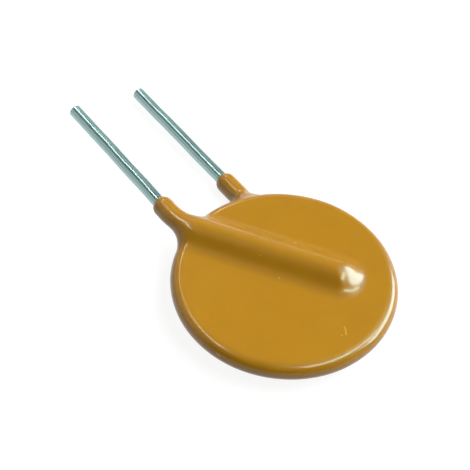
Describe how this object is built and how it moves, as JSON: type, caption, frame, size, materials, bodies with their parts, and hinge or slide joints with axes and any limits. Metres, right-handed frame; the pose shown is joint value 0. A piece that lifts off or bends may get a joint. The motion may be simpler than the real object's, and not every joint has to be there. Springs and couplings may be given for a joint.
{
  "type": "resettable fuse",
  "caption": "Round flat resettable fuse dipped in glossy ochre epoxy, with a ridge over the wire on each face and parallel tinned leads that leave through coated collars.",
  "frame": {"origin": "midway between the centre lines of the two leads, in the plane where they leave the coating", "axes": "+Y along the bare leads, away from the disc; +Z along the disc's axis, out of the face that carries the upper lead; +X from the upper lead to the lower one; the part lies flat"},
  "size_m": [0.013, 0.0249, 0.0028],
  "materials": {
    "epoxy": "glossy dipped epoxy, ochre",
    "conductive_polymer": "matt black carbon-filled polymer",
    "nickel_foil": "nickel foil",
    "tinned_wire": "bright drawn tin plating, faint draw lines",
    "solder": "solder"
  },
  "bodies": {
    "root": {"epoxy_coating": "epoxy", "ptc_chip": "conductive_polymer", "upper_foil": "nickel_foil", "lower_foil": "nickel_foil", "upper_lead": "tinned_wire", "lower_lead": "tinned_wire", "upper_solder": "solder", "lower_solder": "solder"}
  },
  "joints": []
}
